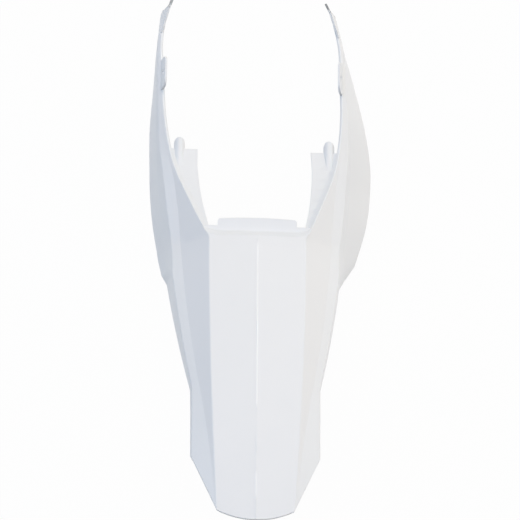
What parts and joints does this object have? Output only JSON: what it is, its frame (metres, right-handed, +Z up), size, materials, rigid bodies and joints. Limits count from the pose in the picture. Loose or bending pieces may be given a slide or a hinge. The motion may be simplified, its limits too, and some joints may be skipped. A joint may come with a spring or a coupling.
{
  "type": "motorcycle rear fender",
  "caption": "One-piece moulded rear fender for an off-road motorcycle, with a faceted tail, side number panels and two forward arms.",
  "frame": {"origin": "middle of the seat tab's top face", "axes": "+Y forward along the motorcycle, +X to the rider's right, +Z up, square to the seat tab"},
  "size_m": [0.2944, 0.7106, 0.2157],
  "materials": {
    "white_plastic": "gloss"
  },
  "bodies": {
    "root": {"rear_fender": "white_plastic"}
  },
  "joints": []
}
